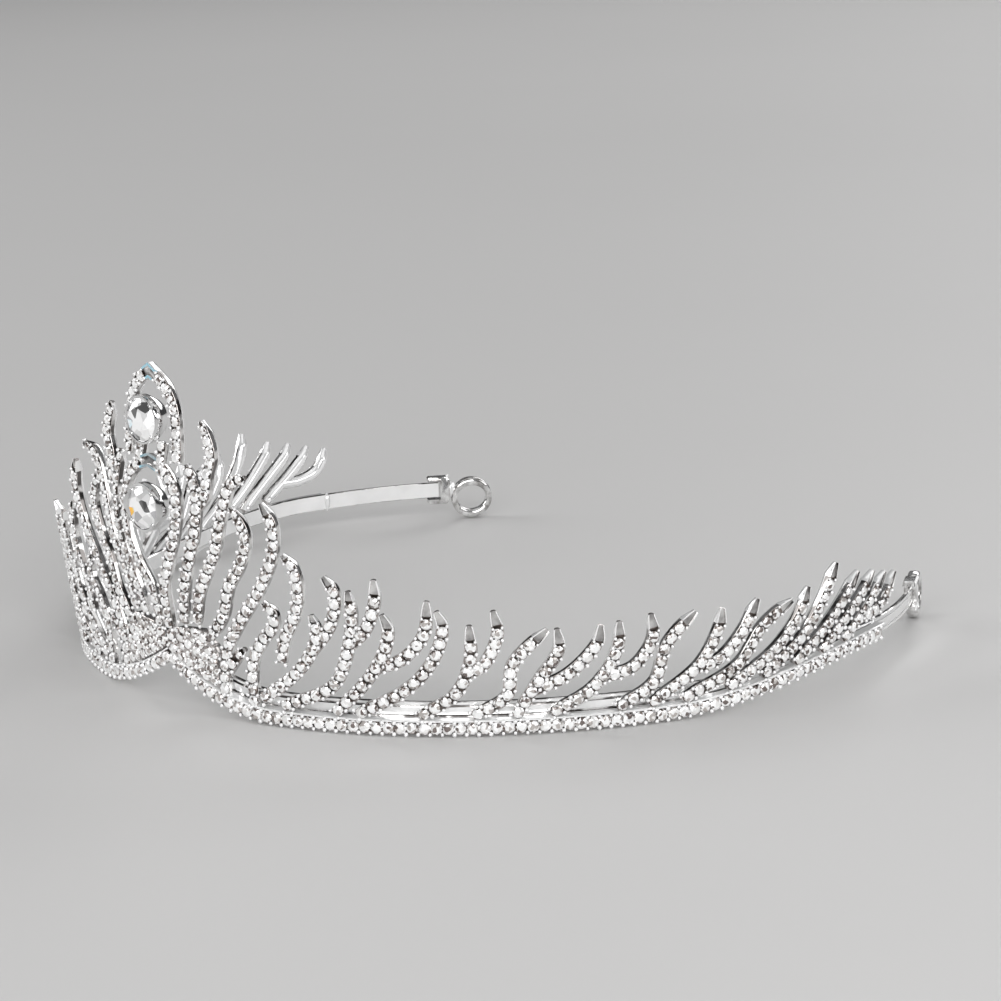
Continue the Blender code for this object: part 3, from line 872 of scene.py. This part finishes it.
def make_base_rail(side, word):
    """The bottom channel with its single row of stones."""
    metal, stones = Shape(), Shape()
    rings = []
    for s in rail_places():
        rings.append([upright(side * s, h, o) for h, o in rail_outline(lower_edge(s))])
    metal.rings(rings, [RAIL_LOOKS] * len(rings))
    run = Run([(s, ROW_HEIGHT) for s in np.arange(0.0, RAIL_END, 0.5)], side, rail_middle, step=0.5)
    distance = ROW_START
    while distance < run.length - ROW_END:
        centre, along, across, out = run.axes(distance)
        add_stone(stones, centre + STONE_OUT * out, along, out, ROW_STONE)
        middle, along, across, out = run.axes(distance + PITCH / 2.0)
        for edge in (-1.0, 1.0):
            size = ROW_BEAD * draw.uniform(*BEAD_SIZES)
            add_bead(metal, middle + edge * ROW_BEAD_ACROSS * across + ROW_BEAD_OUT * out, size)
        distance += PITCH
    metal.make("base_channel_" + word, METALS, "silver_casting", ["base_rail_" + word])
    stones.make("base_stones_" + word, STONES, "cut_crystal", smooth=False)


# ---------------- band, straps, clamps, rings
def strip_outline(low, high, inner, outer):
    """Cross-section of a strip with a groove inside each rounded edge, as (h, out)."""
    edge = 0.14
    groove = 0.55
    wide = 0.45
    deep = outer - 0.30
    return ((low + edge, inner), (low, inner + edge), (low, outer - edge), (low + edge, outer),
            (low + groove, outer), (low + groove, deep),
            (low + groove + wide, deep), (low + groove + wide, outer),
            (high - groove - wide, outer), (high - groove - wide, deep),
            (high - groove, deep), (high - groove, outer),
            (high - edge, outer), (high, outer - edge), (high, inner + edge), (high - edge, inner))


# Sides of that outline, counted from its first point: the grooves and the edges, which a strip may paint
# darker as painted dark reflection lines.
GROOVE_SIDES = (4, 5, 6, 8, 9, 10)
EDGE_SIDES = (0, 1, 2, 12, 13, 14)


def make_strip(name, places, low, shaded, replaced):
    """A polished strip along the base line; its shaded sides take the darker look, painted dark reflection
    lines.
    """
    shape = Shape()
    inner, outer = BAND_OUT - BAND_THICK / 2.0, BAND_OUT + BAND_THICK / 2.0
    rings = []
    for s in places:
        outline = strip_outline(low(s), low(s) + BAND_HEIGHT, inner, outer)
        rings.append([upright(s, h, o) for h, o in outline])
    looks = [1 if i in shaded else 0 for i in range(len(outline))]
    shape.rings(rings, [looks] * len(rings))
    shape.make(name, [POLISHED, SHADE], "polished_strip", replaced)


def end_axes(side):
    """Place and axes at the strap's end: along the strap to its end, up, and out."""
    middle = STRAP_LOW + BAND_HEIGHT / 2.0
    s = side * STRAP_END
    along = unit(upright(s, middle, 0.0) - upright(s - side * 0.3, middle, 0.0))
    out = unit(upright(s, middle, 1.0) - upright(s, middle, 0.0))
    return upright(s, middle, BAND_OUT), along, np.array((0.0, 0.0, 1.0)), out


# End clamps and end rings, as in the CAD, then their finer shapes.
CLAMP_BACK = 177.6
CLAMP_LIP = 1.0
CLAMP_THICK = 2.4
CLAMP_GRIP = 2.4
RING_RADIUS = 4.5
RING_HOLE_WIDE = 3.1
RING_HOLE_HIGH = 2.6
RING_THICK = 2.4
CLAMP_MIDDLE = np.array((0.4, 0.0))
CLAMP_BEVEL = 0.3
CLAMP_CORNER_LONG, CLAMP_CORNER_HIGH = 0.7, 0.9
CLAMP_LAYERS = ((-0.5, 0.90), (-0.42, 1.0), (0.42, 1.0), (0.5, 0.90))
TEETH = (-1.7, -0.4, 0.9, 2.1)
TOOTH_RADIUS = 0.42
RING_SIDES = 48
RING_BAR_SIDES = 12
RING_BAR_POWER = 0.6


def make_clamp(side, word):
    """The cast clamp that holds the strap's end, with teeth along its lips."""
    shape = Shape()
    place, along, up, out = end_axes(side)
    slot = BAND_HEIGHT / 2.0 + GAP
    lip = slot + CLAMP_LIP
    back = CLAMP_BACK - STRAP_END
    long, high = back - CLAMP_CORNER_LONG, lip - CLAMP_CORNER_HIGH
    mouth = -CLAMP_GRIP
    outline = [(mouth, -lip + CLAMP_BEVEL), (mouth + CLAMP_BEVEL, -lip), (long, -lip), (back, -high),
               (back, high), (long, lip), (mouth + CLAMP_BEVEL, lip), (mouth, lip - CLAMP_BEVEL),
               (mouth, slot), (GAP, slot), (GAP, -slot), (mouth, -slot)]
    rings = []
    for z, share in CLAMP_LAYERS:
        ring = []
        for x, y in outline:
            flat = np.array((x, y))
            if abs(y) > slot:
                flat = CLAMP_MIDDLE + (flat - CLAMP_MIDDLE) * share
            ring.append(place + flat[0] * along + flat[1] * up + z * CLAMP_THICK * out)
        rings.append(ring)
    shape.rings(rings)
    front = 0.47 * CLAMP_THICK * out
    for x in TEETH:
        for y in (-1.0, 1.0):
            add_bead(shape, place + x * along + y * (lip - 0.35) * up + front, TOOTH_RADIUS)
    looks = [PAINTED_REFLECTION_CAST, PAINTED_REFLECTION_CAST, POLISHED]
    shape.make("end_clamp_cast_" + word, looks, "polished_strip", ["end_clamp_" + word])


def make_ring(side, word):
    """The end ring: a rounded bar round an oval hole."""
    shape = Shape()
    place, along, up, out = end_axes(side)
    centre = place + (CLAMP_BACK - STRAP_END + GAP + RING_RADIUS) * along
    centre[2] = RING_RADIUS
    rings = []
    for i in range(RING_SIDES):
        angle = 2.0 * math.pi * i / RING_SIDES
        inner = np.array((RING_HOLE_WIDE * math.cos(angle), RING_HOLE_HIGH * math.sin(angle)))
        outer = RING_RADIUS * np.array((math.cos(angle), math.sin(angle)))
        middle, half = (inner + outer) / 2.0, (outer - inner) / 2.0
        ring = []
        for k in range(RING_BAR_SIDES):
            turn = 2.0 * math.pi * k / RING_BAR_SIDES
            wide = math.copysign(abs(math.cos(turn)) ** RING_BAR_POWER, math.cos(turn))
            deep = math.copysign(abs(math.sin(turn)) ** RING_BAR_POWER, math.sin(turn))
            flat = middle + wide * half
            ring.append(centre + flat[0] * along + flat[1] * up + deep * RING_THICK / 2.0 * out)
        rings.append(ring)
    shape.rings(rings, closed=True)
    shape.make("end_ring_cast_" + word, [PAINTED_REFLECTION_CAST], "polished_strip", ["end_ring_" + word], sharp=45.0)


def add_ball(shape, centre, axes, sizes):
    """An oval blob."""
    shape.add(centre + BEAD_POINTS @ (np.array(axes) * np.array(sizes)[:, None]), BEAD_FACES)


def make_solder(side, word):
    """Solder between the castings' feet and the inner band, at the strap's joint and at the end ring."""
    shape = Shape()
    for trunk, branch in FLAMES:
        s, h = trunk[0]
        if h > LOW_ROOT:
            continue
        along, up, out = directions(side * s, h)
        add_ball(shape, wall(side * s, h + 0.2, -2.05), (along, up, out), (0.55, 0.75, 0.4))
    middle = STRAP_LOW + BAND_HEIGHT / 2.0
    joint = side * (STRAP_START - 0.15)
    along, up, out = directions(joint, middle, upright)
    add_ball(shape, upright(joint, middle, BAND_OUT), (along, up, out), (0.8, 2.1, 0.8))
    place, along, up, out = end_axes(side)
    neck = place + (CLAMP_BACK - STRAP_END + GAP / 2.0) * along
    add_ball(shape, neck, (along, up, out), (1.5, 1.9, 1.05))
    shape.make("solder_joints_" + word, [POLISHED], "polished_strip")


# ---------------- crystals and bezels
def crystal_axes(height, girdle_out):
    """Girdle centre and axes of a crystal on the centre line."""
    centre = upright(0.0, height, girdle_out)
    return centre, np.array((1.0, 0.0, 0.0)), np.array((0.0, 0.0, 1.0)), np.array((0.0, -1.0, 0.0))


# The painted glint's place round the table, and how much wider than the CAD's the cut crystal is.
GLINT_FACET = 4
CRYSTAL_GROWTH = 0.26


def make_crystal(word, glint, height, radius, girdle_out):
    """A cut crystal with 16-fold crown and pavilion, one painted glint, and the foil cup behind it."""
    centre, across, up, out = crystal_axes(height, girdle_out)
    basis = np.array((across, up, out))
    points = np.concatenate((circle_points(8, 0.56, 0.36), circle_points(8, 0.80, 0.23, 0.5),
                             circle_points(16, 1.0, 0.03), circle_points(16, 1.0, -0.03),
                             circle_points(8, 0.52, -0.34), circle_points(1, 0.0, -0.58),
                             circle_points(8, 0.25, 0.375)))
    point, table = 56, 57
    faces, looks = [tuple(range(table, table + 8))], [0]
    for k in range(8):
        after = (k + 1) % 8
        star, last = 8 + k, 8 + (k - 1) % 8
        g = [16 + (2 * k + i) % 16 for i in range(3)]
        u = [32 + (2 * k + i) % 16 for i in range(3)]
        faces += [(table + k, k, after, table + after)]
        faces += [(k, star, after), (k, last, g[0]), (k, g[0], star)]
        faces += [(star, g[0], g[1]), (star, g[1], g[2])]
        faces += [(g[0], u[0], u[1], g[1]), (g[1], u[1], u[2], g[2])]
        faces += [(u[0], 48 + k, u[1]), (u[1], 48 + k, 48 + after), (u[1], 48 + after, u[2])]
        faces += [(48 + k, point, 48 + after)]
        looks += [1 if k == GLINT_FACET else 0] + [0] * 11
    shape = Shape()
    shape.add(centre + (radius + CRYSTAL_GROWTH) * points @ basis, faces, looks)
    shape.make(word + "_crystal_cut", [CRYSTAL, glint], "cut_crystal", [word + "_crystal"], smooth=False)

    foil = Shape()
    inside = ((1.0, -0.20), (0.62, -0.50), (0.06, -0.74))
    outside = ((0.06, -0.78), (0.68, -0.56), (1.04, -0.24))
    rings = [radius * circle_points(16, share, z, 0.5) @ basis for share, z in inside + outside]
    foil.rings([centre + ring for ring in rings], closed=True)
    foil.make(word + "_foil_cup", [FOIL], "polished_strip", smooth=False)


# Collars: their sides, how sharply the lugs stand out, and how far back they reach.
BEZEL_SIDES = 64
BEZEL_WALL = 0.4
BEZEL_INSIDE = 0.28
BEZEL_BACK = -3.3
LUG_POWER = 14
CLAW_TURNS = (0.25, 0.75, 1.25, 1.75)
CLAW_SIZES = (0.5, 0.42, 0.3)


def make_bezel(word, height, radius, girdle_out, lug):
    """The polished collar round a crystal: a turned-over lip, a lug at each side and four claws."""
    centre, across, up, out = crystal_axes(height, girdle_out)
    inner, outer = radius + BEZEL_INSIDE, radius + GAP + BEZEL_WALL
    shape = Shape()
    rings = []
    for i in range(BEZEL_SIDES):
        angle = 2.0 * math.pi * i / BEZEL_SIDES
        direction = math.cos(angle) * across + math.sin(angle) * up
        edge = outer + lug * abs(math.cos(angle)) ** LUG_POWER
        outline = ((inner - 1.1, BEZEL_BACK), (outer - 1.2, BEZEL_BACK), (outer - 1.05, -3.1),
                   (outer, -1.2), (edge, -0.8), (edge, 0.05), (outer - 0.05, 0.30),
                   (inner + 0.1, 0.36), (inner - 0.16, 0.26), (inner - 0.10, 0.10),
                   (inner, 0.0), (inner, -1.2))
        rings.append([centre + r * direction + z * out for r, z in outline])
    shape.rings(rings, closed=True)
    for turn in CLAW_TURNS:
        direction = math.cos(math.pi * turn) * across + math.sin(math.pi * turn) * up
        claw = centre + (radius + 0.2) * direction + 0.3 * out
        add_ball(shape, claw, (np.cross(out, direction), direction, out), CLAW_SIZES)
    shape.make(word + "_bezel_collar", [COLLAR], "polished_strip", [word + "_bezel"], sharp=50.0)


# ---------------- assembly
taken_places = []
make_frame("outer", OUTER_FRAME, taken_places, bare=3.2)
make_frame("inner", INNER_FRAME, taken_places, bare=2.6, posts=True)
for side, word in ((1, "right"), (-1, "left")):
    for number, (trunk, branch) in enumerate(FLAMES, start=1):
        make_flame(number, trunk, branch, side, word, taken_places)
make_apron(taken_places)
for side, word in ((1, "right"), (-1, "left")):
    make_base_rail(side, word)
    strap_places = side * np.linspace(STRAP_START, STRAP_END, 30)
    make_strip("end_strap_polished_" + word, strap_places, lambda s: STRAP_LOW, EDGE_SIDES,
               ["end_strap_" + word])
    make_clamp(side, word)
    make_ring(side, word)
    make_solder(side, word)
band_places = np.concatenate((-rail_places()[::-1], rail_places()))
make_strip("inner_band_polished", band_places, band_low, GROOVE_SIDES + EDGE_SIDES, ["inner_band"])
for word, numbers, glint in (("upper", UPPER_CRYSTAL, COOL_GLINT), ("lower", LOWER_CRYSTAL, WARM_GLINT)):
    make_crystal(word, glint, *numbers[:3])
    make_bezel(word, *numbers)


# ---------------- floor, light, camera
FLOOR_HALF = 6.0
FLOOR_DROP = 0.0002


def make_floor():
    """A plain pale floor, just under the tiara."""
    mesh = bpy.data.meshes.new("floor")
    corners = [(x * FLOOR_HALF, y * FLOOR_HALF, 0.0) for x, y in ((-1, -1), (1, -1), (1, 1), (-1, 1))]
    mesh.from_pydata(corners, [], [(0, 1, 2, 3)])
    look = Look("pale_floor")
    look.set(Roughness=0.55)
    stops = [(0.3, (0.63, 0.625, 0.62)), (0.7, (0.65, 0.645, 0.64))]
    look.drive("Base Color", look.ramp(look.noise(0.4), stops))
    mesh.materials.append(look.made)
    made = bpy.data.objects.new("floor", mesh)
    made.location.z = -FLOOR_DROP
    bpy.context.scene.collection.objects.link(made)


LIGHT_TARGET = (0.0, 0.0, 0.03)


def make_light(name, place, size, power):
    """A soft rectangular panel that faces the tiara."""
    lamp = bpy.data.lights.new(name, "AREA")
    lamp.shape = "RECTANGLE"
    lamp.size, lamp.size_y = size
    lamp.energy = power
    made = bpy.data.objects.new(name, lamp)
    made.location = place
    made.rotation_mode = "QUATERNION"
    made.rotation_quaternion = (Vector(LIGHT_TARGET) - Vector(place)).to_track_quat("-Z", "Y")
    made.visible_camera = False
    bpy.context.scene.collection.objects.link(made)


def make_overhead(strength):
    """Even soft light from above."""
    lamp = bpy.data.lights.new("overhead", "SUN")
    lamp.energy = strength
    lamp.angle = math.radians(70.0)
    bpy.context.scene.collection.objects.link(bpy.data.objects.new("overhead", lamp))


CAMERA_PLACE = (0.4619, -0.426245, 0.17465)
CAMERA_AZIMUTH = 46.20
CAMERA_ELEVATION = 13.39
CAMERA_ROLL = -1.21
CAMERA_LENS = 122.5


def make_camera():
    """A long lens from the front right, a little above."""
    a, e, r = (math.radians(v) for v in (CAMERA_AZIMUTH, CAMERA_ELEVATION, CAMERA_ROLL))
    back = Vector((math.sin(a) * math.cos(e), -math.cos(a) * math.cos(e), math.sin(e)))
    level = Vector((math.cos(a), math.sin(a), 0.0))
    above = back.cross(level)
    right = level * math.cos(r) + above * math.sin(r)
    up = above * math.cos(r) - level * math.sin(r)
    camera = bpy.data.cameras.new("camera")
    camera.lens = CAMERA_LENS
    camera.sensor_width = 36.0
    camera.clip_start = 0.02
    camera.clip_end = 20.0
    made = bpy.data.objects.new("camera", camera)
    turn = Matrix((right, up, back)).transposed()
    made.matrix_world = Matrix.Translation(CAMERA_PLACE) @ turn.to_4x4()
    bpy.context.scene.collection.objects.link(made)
    bpy.context.scene.camera = made


make_floor()
make_overhead(0.8)
make_light("key", (0.85, -1.00, 0.50), (1.4, 0.8), 16.0)
make_light("side", (1.40, 0.50, 0.70), (1.0, 0.8), 7.0)
make_light("left", (-1.30, -0.75, 0.70), (1.0, 0.8), 8.0)
make_light("back", (-0.45, 1.50, 0.90), (1.2, 0.8), 8.0)
world = bpy.data.worlds.new("studio")
world.use_nodes = True
world.node_tree.nodes["Background"].inputs["Color"].default_value = (0.05, 0.05, 0.052, 1.0)
world.node_tree.nodes["Background"].inputs["Strength"].default_value = 1.0
bpy.context.scene.world = world
bpy.context.scene.view_settings.view_transform = "Standard"
make_camera()

bpy.context.view_layer.update()
